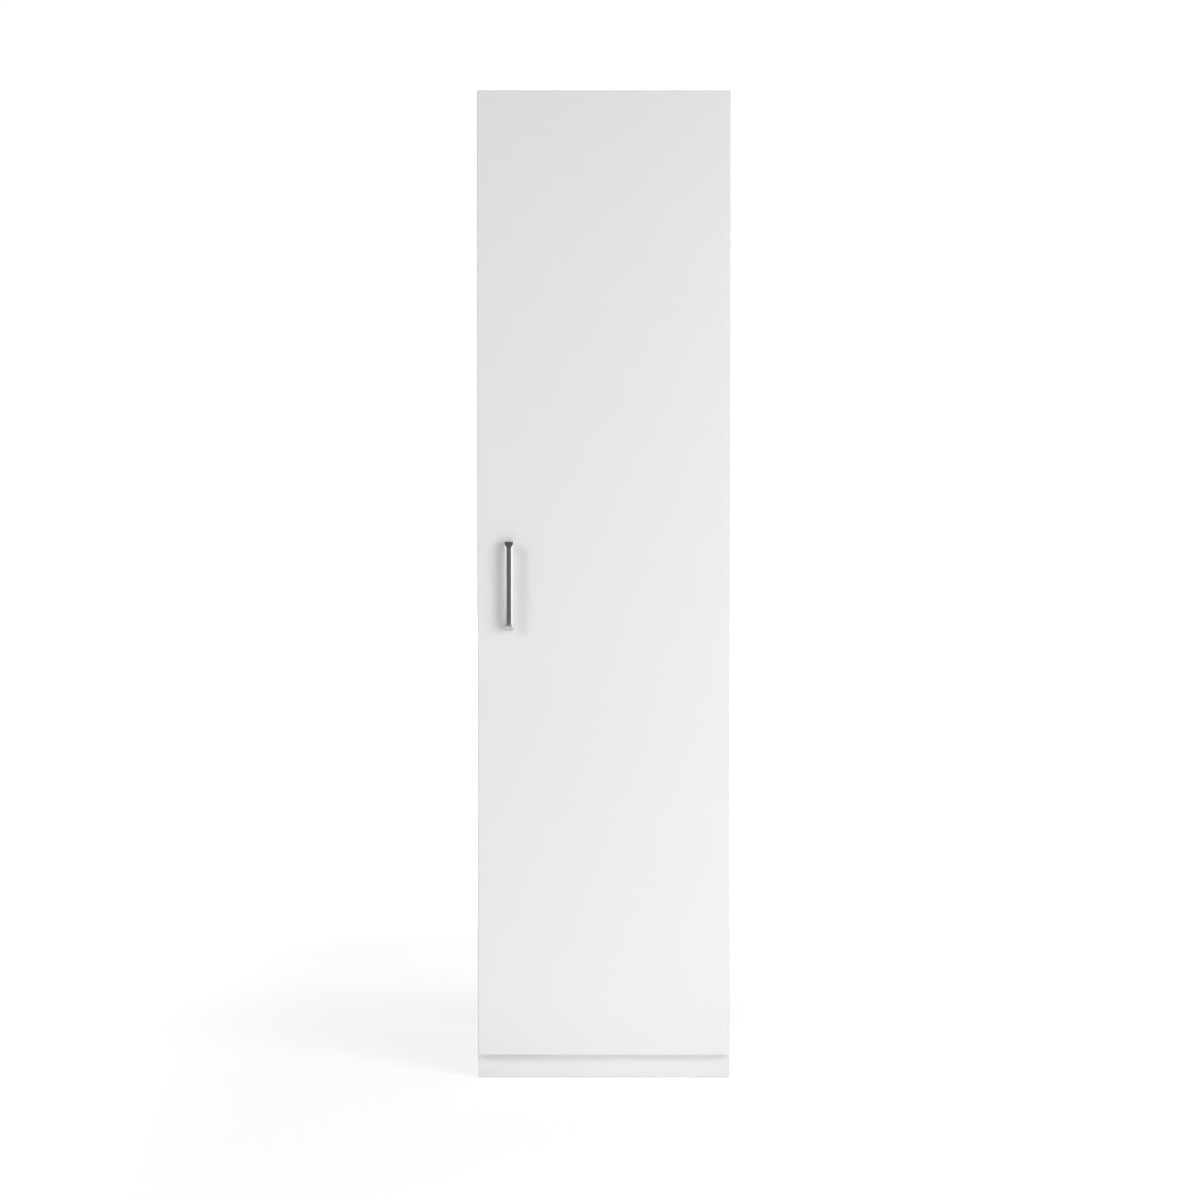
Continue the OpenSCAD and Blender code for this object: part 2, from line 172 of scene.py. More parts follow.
    def finish(self, colour, rough, normal=None, **constants):
        self.put(self.bsdf.inputs["Base Color"], colour)
        self.put(self.bsdf.inputs["Roughness"], rough)
        if normal is not None:
            self.put(self.bsdf.inputs["Normal"], normal)
        for k, v in constants.items():
            self.bsdf.inputs[k.replace("_", " ")].default_value = v
        return self.mat


WHITE = (0.835, 0.835, 0.832)


def chipboard(t, across, half):
    """Colour and height of a raw chipboard edge. across is the distance from the board's middle plane."""
    p = t.pos()
    warp = t.noise(p, 90.0, 2.0)
    # flat flakes of mixed sizes, bent out of their straight outlines
    bend = t.add("ShaderNodeVectorMath", operation="MULTIPLY_ADD")
    wander = t.add("ShaderNodeTexNoise")
    t.link(p, wander.inputs["Vector"])
    wander.inputs["Scale"].default_value = 500.0
    t.link(wander.outputs["Color"], bend.inputs[0])
    bend.inputs[1].default_value = (0.0022, 0.0022, 0.0022)
    t.link(t.pos(scale=(0.75, 0.75, 1.0)), bend.inputs[2])
    cells = t.voronoi(bend.outputs[0], 620.0, out="Color")
    r = t.add("ShaderNodeSeparateColor")
    t.link(cells, r.inputs[0])
    chips = t.ramp(r.outputs[0], [(0.0, (0.30, 0.20, 0.115)), (0.35, (0.47, 0.345, 0.215)),
                                  (0.7, (0.60, 0.46, 0.30)), (1.0, (0.72, 0.60, 0.43))])
    fine = t.ramp(t.noise(p, 2200.0, 2.0, 0.6), [(0.3, (0.44, 0.33, 0.21)), (0.7, (0.66, 0.53, 0.37))])
    skin = t.remap(across, half * 0.62, half * 0.8, 0.0, 1.0, smooth=True)
    colour = t.tone(t.remap(warp, 0.3, 0.7, 0.92, 1.06), t.mix(skin, chips, fine))
    edges = t.voronoi(bend.outputs[0], 620.0, feature="DISTANCE_TO_EDGE")
    pits = t.remap(edges, 0.0, 0.18, 0.0, 1.0)
    height = t.math("ADD", t.math("MULTIPLY", pits, 0.7), t.noise(p, 1500.0, 2.0))
    return colour, height


def board(node, axis, raw=(), band=1.0e-3):
    """White melamine on chipboard. axis is the board's thickness, raw the edges left without a band, such as '+Y'."""
    t = Tree("melamine_" + node)
    lo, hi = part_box(node)
    mid = [(a + b) / 2 for a, b in zip(lo, hi)]
    half = [(b - a) / 2 for a, b in zip(lo, hi)]
    p = t.pos()
    xyz = t.split(p)
    nrm = t.split(t.coord.outputs["Normal"])
    dist = [t.math("SUBTRACT", half[i], t.math("ABSOLUTE", t.math("SUBTRACT", xyz[i], mid[i]))) for i in range(3)]
    face = t.remap(t.math("ABSOLUTE", nrm[axis]), 0.6, 0.75, 0.0, 1.0)
    others = [i for i in range(3) if i != axis]
    # pearl-finished paper: soft cloudiness, fine fibres and a low satin grain
    cloud = t.noise(p, 2.6, 3.0, 0.55)
    fibre = t.noise(t.pos(scale=(1.0, 1.0, 0.35)), 1500.0, 2.0, 0.6)
    tone = t.math("ADD", t.remap(cloud, 0.3, 0.7, 0.992, 1.004), t.remap(fibre, 0.3, 0.7, -0.006, 0.006))
    colour = t.tone(tone, WHITE)
    # glue line of the edge band, seen on the broad faces near their borders
    near = t.math("MINIMUM", dist[others[0]], dist[others[1]])
    line = t.math("MULTIPLY", t.remap(t.math("ABSOLUTE", t.math("SUBTRACT", near, band)), 0.0, 0.00012, 1.0, 0.0), face)
    colour = t.mix(t.math("MULTIPLY", line, 0.35), colour, (0.56, 0.55, 0.53))
    # the band itself is a touch cooler and smoother than the paper
    colour = t.mix(t.math("MULTIPLY", t.math("SUBTRACT", 1.0, face), 0.6), colour, (0.838, 0.84, 0.842))
    pearl = t.math("ADD", t.noise(p, 620.0, 2.0, 0.5), t.math("MULTIPLY", t.noise(p, 210.0, 1.0), 0.6))
    rough = t.math("ADD", t.remap(t.noise(p, 38.0, 3.0), 0.3, 0.7, 0.37, 0.45), t.math("MULTIPLY", fibre, 0.04))
    rough = t.math("SUBTRACT", rough, t.math("MULTIPLY", t.math("SUBTRACT", 1.0, face), 0.05))
    height = pearl
    if raw:
        chip_c, chip_h = chipboard(t, t.math("ABSOLUTE", t.math("SUBTRACT", xyz[axis], mid[axis])), half[axis])
        mask = None
        for side in raw:
            i = "XYZ".index(side[1])
            s = 1.0 if side[0] == "+" else -1.0
            facing = t.remap(t.math("MULTIPLY", nrm[i], s), 0.75, 0.85, 0.0, 1.0)
            at_edge = t.remap(t.math("MULTIPLY", t.math("SUBTRACT", xyz[i], mid[i]), s), half[i] - 0.0012, half[i] - 0.0009, 0.0, 1.0)
            m = t.math("MULTIPLY", facing, at_edge)
            mask = m if mask is None else t.math("MAXIMUM", mask, m)
        colour = t.mix(mask, colour, chip_c)
        rough = t.math("ADD", rough, t.math("MULTIPLY", mask, 0.42))
        height = t.math("ADD", t.math("MULTIPLY", height, t.math("SUBTRACT", 1.0, mask)),
                        t.math("MULTIPLY", t.math("MULTIPLY", chip_h, 7.0), mask))
    normal = t.bump(height, 0.5, 0.00003)
    return t.finish(colour, rough, normal, IOR=1.48)


def front_finish():
    """The door: pressed foil with a soft satin sheen and a barely visible long-wave unevenness."""
    t = Tree("satin_front")
    p = t.pos()
    lo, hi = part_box("door")
    nrm = t.split(t.coord.outputs["Normal"])
    cloud = t.noise(p, 2.0, 2.0, 0.5)
    speck = t.noise(p, 1900.0, 1.0, 0.6)
    tone = t.math("ADD", t.remap(cloud, 0.3, 0.7, 0.994, 1.003), t.remap(speck, 0.3, 0.7, -0.004, 0.004))
    colour = t.tone(tone, (0.84, 0.84, 0.84))
    # the inner side is the carcass paper, a little more open in its grain
    inner = t.remap(nrm[1], 0.6, 0.8, 0.0, 1.0)
    colour = t.mix(t.math("MULTIPLY", inner, 0.7), colour, (0.83, 0.829, 0.825))
    peel = t.math("ADD", t.noise(p, 150.0, 1.0, 0.4), t.math("MULTIPLY", t.noise(p, 900.0, 2.0), 0.25))
    rough = t.math("ADD", t.remap(t.noise(p, 30.0, 3.0), 0.3, 0.7, 0.33, 0.38), t.math("MULTIPLY", inner, 0.07))
    normal = t.bump(peel, 0.4, 0.00003)
    return t.finish(colour, rough, normal, IOR=1.5)


def hardboard():
    """Thin fibreboard: white lacquer inside, bare brown fibre with its sieve mark behind."""
    t = Tree("hardboard_back")
    p = t.pos()
    nrm = t.split(t.coord.outputs["Normal"])
    inside = t.remap(t.math("MULTIPLY", nrm[1], -1.0), 0.6, 0.8, 0.0, 1.0)
    lacquer = t.tone(t.math("ADD", t.remap(t.noise(p, 3.0, 3.0), 0.3, 0.7, 0.985, 1.004),
                            t.remap(t.noise(p, 1100.0, 2.0), 0.3, 0.7, -0.008, 0.008)), (0.80, 0.80, 0.795))
    blot = t.noise(p, 14.0, 4.0, 0.6)
    strands = t.noise(t.pos(scale=(1.0, 1.0, 0.4), rot=(0.0, 0.5, 0.0)), 900.0, 4.0, 0.7, 0.4)
    flecks = t.noise(t.pos(scale=(1.0, 1.0, 0.5), rot=(0.0, -0.7, 0.0)), 260.0, 3.0, 0.7, 0.8)
    mixed = t.math("ADD", t.math("MULTIPLY", blot, 0.16), t.math("MULTIPLY", strands, 0.5))
    brown = t.ramp(t.math("ADD", mixed, t.math("MULTIPLY", flecks, 0.34)),
                   [(0.34, (0.175, 0.105, 0.057)), (0.5, (0.315, 0.205, 0.12)), (0.66, (0.46, 0.325, 0.205))])
    colour = t.mix(inside, brown, lacquer)
    sieve = t.math("MULTIPLY", t.wave(p, 210.0, "X"), t.wave(p, 210.0, "Z"))
    back_h = t.math("ADD", t.math("MULTIPLY", sieve, 1.6), t.math("MULTIPLY", strands, 1.2))
    front_h = t.math("MULTIPLY", t.noise(p, 380.0, 2.0), 0.5)
    height = t.math("ADD", t.math("MULTIPLY", back_h, t.math("SUBTRACT", 1.0, inside)), t.math("MULTIPLY", front_h, inside))
    rough = t.math("ADD", t.math("MULTIPLY", t.math("SUBTRACT", 1.0, inside), t.remap(blot, 0.3, 0.7, 0.66, 0.8)),
                   t.math("MULTIPLY", inside, t.remap(t.noise(p, 50.0, 2.0), 0.3, 0.7, 0.46, 0.54)))
    normal = t.bump(height, 0.6, 0.00008)
    return t.finish(colour, rough, normal, IOR=1.48)


def plastic(name, colour, rough, grain=900.0):
    t = Tree(name)
    p = t.pos()
    tone = t.math("ADD", t.remap(t.noise(p, 9.0, 2.0), 0.3, 0.7, 0.985, 1.005),
                  t.remap(t.noise(p, grain * 2.0, 1.0), 0.3, 0.7, -0.008, 0.008))
    normal = t.bump(t.noise(p, grain, 3.0, 0.6), 0.5, 0.00004)
    return t.finish(t.tone(tone, colour), t.remap(t.noise(p, grain / 5.0, 2.0), 0.3, 0.7, rough - 0.05, rough + 0.06),
                    normal, IOR=1.49)


def metal(name, dark, light, rough, spread=0.05, mottle=160.0, grain=2600.0, grain_scale=(1, 1, 1), bump=0.35, height=0.000012):
    """Plated steel or zinc die casting: mottled colour, uneven polish, fine marks."""
    t = Tree(name)
    p = t.pos()
    fine = t.noise(t.pos(scale=grain_scale), grain, 3.0, 0.6)
    blotch = t.noise(p, mottle, 3.0, 0.6, 0.3)
    colour = t.mix(t.remap(t.math("ADD", t.math("MULTIPLY", blotch, 0.7), t.math("MULTIPLY", fine, 0.3)), 0.3, 0.7, 0.0, 1.0), dark, light)
    r = t.math("ADD", t.remap(blotch, 0.3, 0.7, rough - spread, rough + spread), t.remap(fine, 0.3, 0.7, -spread * 0.6, spread * 0.6))
    normal = t.bump(fine, bump, height)
    return t.finish(colour, r, normal, Metallic=1.0)


def chrome():
    """Bright chromium on die-cast zinc: almost a mirror, with a trace of polishing haze."""
    t = Tree("polished_chrome")
    p = t.pos()
    haze = t.noise(p, 70.0, 3.0, 0.6)
    lines = t.noise(t.pos(scale=(6.0, 6.0, 0.25)), 900.0, 2.0, 0.6)
    colour = t.mix(t.remap(haze, 0.3, 0.7, 0.0, 1.0), (0.60, 0.605, 0.615), (0.64, 0.642, 0.645))
    rough = t.math("ADD", t.remap(haze, 0.3, 0.7, 0.05, 0.09), t.math("MULTIPLY", lines, 0.02))
    normal = t.bump(t.math("ADD", haze, t.math("MULTIPLY", lines, 0.15)), 0.06, 0.00002)
    return t.finish(colour, rough, normal, Metallic=1.0)


def beech():
    """Turned beech: long fine grain along X, short dark flecks."""
    t = Tree("beech_dowel")
    grain = t.noise(t.pos(scale=(0.12, 1.0, 1.0)), 1400.0, 4.0, 0.65, 0.6)
    fleck = t.noise(t.pos(scale=(0.3, 1.0, 1.0)), 3200.0, 1.0)
    colour = t.ramp(grain, [(0.25, (0.42, 0.255, 0.13)), (0.55, (0.58, 0.39, 0.22)), (0.85, (0.70, 0.51, 0.32))])
    colour = t.mix(t.remap(fleck, 0.66, 0.74, 0.0, 0.6), colour, (0.30, 0.17, 0.08))
    normal = t.bump(t.math("ADD", grain, t.math("MULTIPLY", t.wave(t.pos(), 260.0, "X"), 0.2)), 0.5, 0.00012)
    return t.finish(colour, t.remap(grain, 0.2, 0.8, 0.5, 0.68), normal, IOR=1.45)


def soft_clear():
    """Clear polyurethane bumper."""
    t = Tree("clear_buffer")
    p = t.pos()
    colour = t.mix(t.remap(t.noise(p, 400.0, 2.0), 0.3, 0.7, 0.0, 1.0), (0.86, 0.88, 0.875), (0.93, 0.94, 0.935))
    normal = t.bump(t.noise(p, 1500.0, 2.0), 0.3, 0.00002)
    return t.finish(colour, t.remap(t.noise(p, 700.0, 2.0), 0.3, 0.7, 0.16, 0.26), normal, IOR=1.49, Transmission_Weight=0.8)


# ------------------------------------------------------------------ carried-over CAD nodes

def paint(node, mat):
    o = NODES[node]
    for s in o.material_slots:
        s.material = mat
    if not o.material_slots:
        o.data.materials.append(mat)


def smooth_tree():
    """Geometry nodes that join split corners and shade every face smooth, so that later normals decide the look."""
    g = bpy.data.node_groups.new("join_and_smooth", "GeometryNodeTree")
    g.interface.new_socket("Geometry", in_out="INPUT", socket_type="NodeSocketGeometry")
    g.interface.new_socket("Geometry", in_out="OUTPUT", socket_type="NodeSocketGeometry")
    i, o = g.nodes.new("NodeGroupInput"), g.nodes.new("NodeGroupOutput")
    merge = g.nodes.new("GeometryNodeMergeByDistance")
    merge.inputs["Distance"].default_value = 2e-6
    faces = g.nodes.new("GeometryNodeSetShadeSmooth")
    faces.domain = "FACE"
    edges = g.nodes.new("GeometryNodeSetShadeSmooth")
    edges.domain = "EDGE"
    g.links.new(i.outputs[0], merge.inputs["Geometry"])
    g.links.new(merge.outputs[0], faces.inputs["Geometry"])
    g.links.new(faces.outputs[0], edges.inputs["Geometry"])
    g.links.new(edges.outputs[0], o.inputs[0])
    return g


SMOOTH = smooth_tree()


def soften(node, width, segments=2, angle=30.0):
    """Breaks the sharp edges of a CAD node by width metres, without touching its mesh."""
    o = NODES[node]
    m = o.modifiers.new("join", "NODES")
    m.node_group = SMOOTH
    d = o.modifiers.new("flat", "DECIMATE")
    d.decimate_type = "DISSOLVE"
    d.angle_limit = math.radians(0.4)
    if width:
        b = o.modifiers.new("edges", "BEVEL")
        b.width = width
        b.segments = segments
        b.limit_method = "ANGLE"
        b.angle_limit = math.radians(angle)
        b.miter_outer = "MITER_ARC"
        b.use_clamp_overlap = True
    w = o.modifiers.new("normals", "WEIGHTED_NORMAL")
    w.mode = "FACE_AREA_WITH_ANGLE"
    w.weight = 50
    w.keep_sharp = False


MM = 0.001
BOARDS = {
    "left_side": (0, ("+Y", "-Z")), "right_side": (0, ("+Y", "-Z")),
    "top_panel": (2, ("+Y",)), "bottom_panel": (2, ("+Y",)), "fixed_shelf": (2, ("+Y",)),
    "shelf_lower": (2, ("+Y",)), "shelf_middle": (2, ("+Y",)), "shelf_upper": (2, ("+Y",)),
    "plinth_front": (1, ("-Z",)), "plinth_rear": (1, ("-Z",)),
}
for name, (axis, raw) in BOARDS.items():
    paint(name, board(name, axis, raw))
    soften(name, 0.35 * MM)

paint("door", front_finish())
soften("door", 0.0)

fibre = hardboard()
for name in ("back_panel_lower", "back_panel_upper"):
    paint(name, fibre)
    soften(name, 0.15 * MM)

white_plastic = plastic("white_plastic", (0.80, 0.80, 0.79), 0.42)
for name, w in (("back_joining_strip", 0.2), ("cam_caps", 0.15), ("floor_glides", 0.2)):
    paint(name, white_plastic)
    soften(name, w * MM)

zinc = metal("zinc_plated_steel", (0.56, 0.58, 0.61), (0.66, 0.67, 0.68), 0.32, 0.05, bump=0.25)
die_cast = metal("zinc_die_casting", (0.44, 0.45, 0.46), (0.58, 0.585, 0.59), 0.42, 0.08, bump=0.5, height=0.00003)
nickel = metal("nickel_plated_steel", (0.64, 0.625, 0.60), (0.70, 0.685, 0.66), 0.24, 0.03, mottle=60.0, grain_scale=(1.0, 0.35, 1.0), bump=0.15)
for name, mat, w in (("cam_housings", die_cast, 0.2), ("cam_bolts", zinc, 0.15), ("wall_brackets", zinc, 0.3),
                     ("wall_bracket_screws", zinc, 0.15), ("hinge_plate_screws", zinc, 0.15),
                     ("hinge_adjust_screws", zinc, 0.15), ("handle_screws", zinc, 0.15),
                     ("hinge_cup_screws", zinc, 0.12), ("hinge_pins", zinc, 0.15),
                     ("shelf_pins", nickel, 0.2), ("hinge_plates", nickel, 0.3),
                     ("hinge_arms", nickel, 0.25), ("hinge_cups", nickel, 0.2)):
    paint(name, mat)
    soften(name, w * MM)
paint("dowels", beech())
soften("dowels", 0.4 * MM)
paint("door_buffers", soft_clear())
soften("door_buffers", 0.6 * MM, 3)


# ------------------------------------------------------------------ the bow handle, as a mesh of its own

def fillet(points, radii, segs):
    """A closed 2-D polygon with each corner rounded: segs + 1 points for each corner."""
    out = []
    n = len(points)
    for k in range(n):
        p, a, b = points[k], points[k - 1], points[(k + 1) % n]
        ua = (a - p).normalized()
        ub = (b - p).normalized()
        ang = ua.angle(ub)
        t = min(radii[k] / math.tan(ang / 2), 0.48 * (a - p).length, 0.48 * (b - p).length)
        r = t * math.tan(ang / 2)
        centre = p + (ua + ub).normalized() * (r / math.sin(ang / 2))
        s, f = p + ua * t - centre, p + ub * t - centre
        turn = s.angle_signed(f)
        for i in range(segs + 1):
            v = s.copy()
            v.rotate(Matrix.Rotation(-turn * i / segs, 2))
            out.append(centre + v)
    return out


def round_path(points, radii, segs):
    """An open 2-D path with each inner corner rounded: segs + 1 points for each inner corner."""
    out = [points[0]]
    for k in range(1, len(points) - 1):
        p, a, b = points[k], points[k - 1], points[k + 1]
        ua, ub = (a - p).normalized(), (b - p).normalized()
        ang = ua.angle(ub)
        t = min(radii[k - 1] / math.tan(ang / 2), 0.4 * (a - p).length, 0.4 * (b - p).length)
        for i in range(segs + 1):
            u = i / segs
            # quadratic blend through the corner, close to an arc at these angles
            out.append(p + ua * (t * (1 - u) ** 2) + ub * (t * u ** 2))
    out.append(points[-1])
    return out


def make_handle():
    lo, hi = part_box("handle")
    w = (hi.x - lo.x) * 1000
    proj = (hi.y - lo.y) * 1000
    half = (hi.z - lo.z) * 500
    cx, base_y, cz = (lo.x + hi.x) / 2, hi.y, (lo.z + hi.z) / 2
    post, slope, drop, bar, curl = 14.0, 16.0, 8.0, 8.0, 2.0
    facet, c_end = 8.7, 0.55
    c0 = (w - facet) / 2
    V2 = lambda a, b: Vector((a, b))
    seg = 8
    # one half from the post's foot to the middle, z downwards from the end; the front falls away ever more steeply
    ends = [V2(half - slope + s, proj - drop * (s / slope) ** curl) for s in ((slope - 0.9) * k / 22 for k in range(22, -1, -1))]
    turn = round_path([V2(half, 0), V2(half, proj - drop), ends[0]], (0.9,), seg)[:-1]
    outer = turn + ends + [V2(half - 32, proj)]
    inner = round_path([V2(half - post, 0), V2(half - post, proj - 13), V2(half - post - 6, proj - bar), V2(half - 32, proj - bar)],
                       (1.6, 1.6), seg)

    def fill(path, after, count):
        a, b = path[after], path[after + 1]
        return path[:after + 1] + [a.lerp(b, k / (count + 1)) for k in range(1, count + 1)] + path[after + 1:]

    # more stations on the sloped end, where the bevels die out, and before the first corner
    outer = fill(outer, 0, 3)
    inner = fill(fill(inner, seg + 1, 14), 0, 3)
    for k in range(1, 25):
        z = (half - 32) * (1 - k / 24)
        outer.append(V2(z, proj))
        inner.append(V2(z, proj - bar))
    outer += [V2(-p.x, p.y) for p in reversed(outer[:-1])]
    inner += [V2(-p.x, p.y) for p in reversed(inner[:-1])]
    rings = []
    for o, i in zip(outer, inner):
        # the bevels are one straight 45 degree cut, so they shrink as the surface falls back on the slope
        c = max(c_end, c0 - (proj - o.y))
        thick = (i - o).length
        d = (i - o) / thick
        back = c if c <= c_end else c / max(0.5, -d.y)
        h = w / 2
        poly = [V2(-(h - c), 0), V2(h - c, 0), V2(h, back), V2(h, thick), V2(-h, thick), V2(-h, back)]
        ring = fillet(poly, [0.45, 0.45, 0.45, 1.0, 1.0, 0.45], 4)
        rings.append([Vector((cx + p.x * MM, base_y - (o.y + d.y * p.y) * MM, cz + (o.x + d.x * p.y) * MM)) for p in ring])
    bm = bmesh.new()
    vs = [[bm.verts.new(p) for p in r] for r in rings]
    n = len(vs[0])
    for a, b in zip(vs, vs[1:]):
        for k in range(n):
            bm.faces.new((a[k], a[(k + 1) % n], b[(k + 1) % n], b[k]))
    # feet with their threaded bores
    for r, s in ((vs[0], 1), (vs[-1], -1)):
        zc = cz + s * (half - post / 2) * MM
        circle = [Vector((cx, base_y, zc)) + Vector((v.co.x - cx, 0, v.co.z - zc)).normalized() * (2.0 * MM) for v in r]
        top = [bm.verts.new(p) for p in circle]
        deep = [bm.verts.new(p - Vector((0, 14 * MM, 0))) for p in circle]
        for a, b in ((r, top), (top, deep)):
            for k in range(n):
                f = (a[k], a[(k + 1) % n], b[(k + 1) % n], b[k])
                bm.faces.new(f)
        bm.faces.new(deep)
    bmesh.ops.recalc_face_normals(bm, faces=bm.faces)
    me = bpy.data.meshes.new("bow_handle")
    bm.to_mesh(me)
    bm.free()
    for p in me.polygons:
        p.use_smooth = True
    o = bpy.data.objects.new("bow_handle", me)
    scene.collection.objects.link(o)
    me.materials.append(chrome())
    wn = o.modifiers.new("normals", "WEIGHTED_NORMAL")
    wn.mode = "FACE_AREA"
    wn.weight = 50
    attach(o, "door")
    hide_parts("handle")
    return o


handle = make_handle()


# ------------------------------------------------------------------ stage: floor, sky, lights, camera

def make_floor():
    bm = bmesh.new()
    n, size = 24, 60.0
    grid = [[bm.verts.new((size * (i / n - 0.5), size * (j / n - 0.5), 0.0)) for j in range(n + 1)] for i in range(n + 1)]
    for i in range(n):
        for j in range(n):
            bm.faces.new((grid[i][j], grid[i + 1][j], grid[i + 1][j + 1], grid[i][j + 1]))
    me = bpy.data.meshes.new("floor")
    bm.to_mesh(me)
    bm.free()
    o = bpy.data.objects.new("floor", me)
    scene.collection.objects.link(o)
    t = Tree("floor_white")
    x, y, _ = t.split(t.pos())

    def reach(cx, cy, sx=1.0, sy=1.0):
        dx = t.math("DIVIDE", t.math("SUBTRACT", x, cx), sx)
        dy = t.math("DIVIDE", t.math("SUBTRACT", y, cy), sy)
        return t.math("SQRT", t.math("ADD", t.math("MULTIPLY", dx, dx), t.math("MULTIPLY", dy, dy)))

    r = reach(0.0, 0.0)
    # painted light: a pool of glow on the floor in front of the door, which shines onto the door's lower part though
    # the floor is no lamp
    q = reach(*FLOOR_PAINTED_POOL[:4])
    painted_light_pool = t.math("MULTIPLY", t.math("EXPONENT", t.math("MULTIPLY", t.math("MULTIPLY", q, q), -0.5)), FLOOR_PAINTED_POOL[4])
    painted_light_pool.node.name = "painted_light_pool"
    path = t.add("ShaderNodeLightPath")
    side = t.math("MULTIPLY_ADD", t.math("ABSOLUTE", y), -0.6, t.math("ABSOLUTE", x))
    # painted shade in reflections: for glossy rays alone the floor's colour in front is darkened further into the room,
    # so bright metal mirrors a floor that seems lit near the cupboard and dim beyond
    away = t.math("MAXIMUM", t.math("SUBTRACT", reach(0.0, -0.31), 0.2), 0.0)
    dark = t.math("SUBTRACT", 1.0, t.math("EXPONENT", t.math("DIVIDE", away, -FLOOR_PAINTED_DUSK[0])))
    dark = t.math("MULTIPLY", dark, t.remap(side, -0.4, 0.2, FLOOR_PAINTED_DUSK[1], 0.0, smooth=True))
    shade = t.math("SUBTRACT", 1.0, t.math("MULTIPLY", dark, path.outputs["Is Glossy Ray"]))
    shade.node.name = "shade"
    # the painted shade in reflections darkens the floor's base colour
    tone = t.math("MULTIPLY", t.remap(t.noise(t.pos(), 1.4, 2.0), 0.3, 0.7, 0.996, 1.004), shade)
    t.finish(t.tone(tone, (FLOOR_ALBEDO,) * 3), t.remap(t.noise(t.pos(), 6.0, 2.0), 0.3, 0.7, 0.88, 0.95), None,
             Specular_IOR_Level=0.0)
    t.bsdf.inputs["Emission Color"].default_value = (1, 1, 1, 1)
    # its glow: even, with a painted pool of light in front of the door that shines onto it, and paler still towards the
    # horizon;
    # the distant floor to the left and right gets a painted glow that only reflections see, as the handle's bevels
    # mirror it
    # painted reflection: only glossy rays see this glow on the distant floor, stronger to the right, which the handle's
    # bevels mirror
    far = t.math("MULTIPLY", t.remap(side, FLOOR_PAINTED_FAR_FADE[0], FLOOR_PAINTED_FAR_FADE[1], 0.0, FLOOR_PAINTED_FAR_GLOW, smooth=True), path.outputs["Is Glossy Ray"])
    far = t.math("MULTIPLY", far, t.remap(x, -0.5, 0.5, 0.1, 1.3))
    far.node.name = "far"
    # painted light and shade for camera rays only: the floor is made paler region by region, which shapes the shadow
    # the camera sees and darkens it faintly in front
    camera_painted_lift = LIFT
    for v, (amount, a, b) in ((r, LIFT_FAR), (y, LIFT_BACK), (t.math("MULTIPLY", y, -1.0), LIFT_FRONT),
                              (x, LIFT_RIGHT), (t.math("MULTIPLY", x, -1.0), LIFT_LEFT)):
        camera_painted_lift = t.math("ADD", t.remap(v, a, b, 0.0, amount, smooth=True), camera_painted_lift)
    camera_painted_lift.node.name = "camera_painted_lift"
    # the painted pool of light is hidden from the camera; the door and reflections see it
    painted_light_pool = t.math("MULTIPLY", painted_light_pool, t.math("SUBTRACT", 1.0, path.outputs["Is Camera Ray"]))
    # in reflections the floor's glow is painted at 0.6 of its strength
    near = t.math("MULTIPLY", t.math("ADD", painted_light_pool, FLOOR_GLOW), t.remap(path.outputs["Is Glossy Ray"], 0.0, 1.0, 1.0, 0.6))
    glow = t.math("ADD", near, far)
    glow.node.name = "glow"
    t.link(t.math("MULTIPLY_ADD", path.outputs["Is Camera Ray"], camera_painted_lift, glow), t.bsdf.inputs["Emission Strength"])
    me.materials.append(t.mat)
    return o


FLOOR_ALBEDO = 0.80
FLOOR_GLOW = 0.296
# painted glow of the distant floor that only reflections see, and where it fades in
FLOOR_PAINTED_FAR_GLOW = 0.75
FLOOR_PAINTED_FAR_FADE = (0.4, 1.8)
FLOOR_PAINTED_POOL = (-0.10, -0.70, 0.6, 0.22, 0.60)   # painted pool of light that the floor gives off: x, y, spread along x and y in metres, strength
FLOOR_PAINTED_DUSK = (0.45, 0.85)                       # how fast the painted shade in reflections dims the floor in front, in metres, and how far
# painted light and shade that only the camera sees on the floor: how much paler it looks everywhere, far out, behind,
# in front (negative, a painted shade), right and left, with where each fades in
LIFT = 0.25
LIFT_FAR, LIFT_BACK, LIFT_FRONT = (0.40, 1.5, 3.0), (0.155, 0.0, 1.25), (-0.06, 0.2, 1.3)
LIFT_RIGHT, LIFT_LEFT = (0.10, 0.1, 0.5), (0.10, 0.6, 1.3)
AMBIENT, AMBIENT_REAR = 0.05, 0.45

# softboxes on a circle around the door: bearing from straight ahead in degrees, height, watts
KEY = ((25, 0.45, 2.4), (25, 1.55, 2.0), (25, 2.3, 8.8), (35, 0.45, 4.4), (35, 1.55, 8.2), (45, 1.0, 2.8), (45, 1.55, 12.0),
       (45, 2.3, 5.1), (55, 1.0, 3.3), (55, 1.55, 6.2))
FILL = ((-50, 0.45, 1.3), (-50, 1.55, 3.6), (-50, 2.3, 16.3), (-60, 1.55, 6.7), (-60, 2.3, 0.2))
RING, PANEL = 3.2, 0.56
LOW = ((0.9, -1.845, 0.3), (0.0, -0.286, 0.3), 0.4, 0.4, 3.0, True)
# hangs over the top panel, behind the plane of the door
ABOVE = ((0.0, 0.25, 2.9), (0.0, 0.25, 0.0), 0.9, 0.7, 8.0, False)


def softbox(name, place, aim, wx, wy, watts, glossy):
    data = bpy.data.lights.new(name, "AREA")
    data.shape = "RECTANGLE"
    data.size, data.size_y = wx, wy
    data.energy = watts
    o = bpy.data.objects.new(name, data)
    scene.collection.objects.link(o)
    o.location = place
    o.rotation_euler = (Vector(aim) - Vector(place)).to_track_quat("-Z", "Y").to_euler()
    o.visible_camera = False
    o.visible_glossy = glossy
    return o


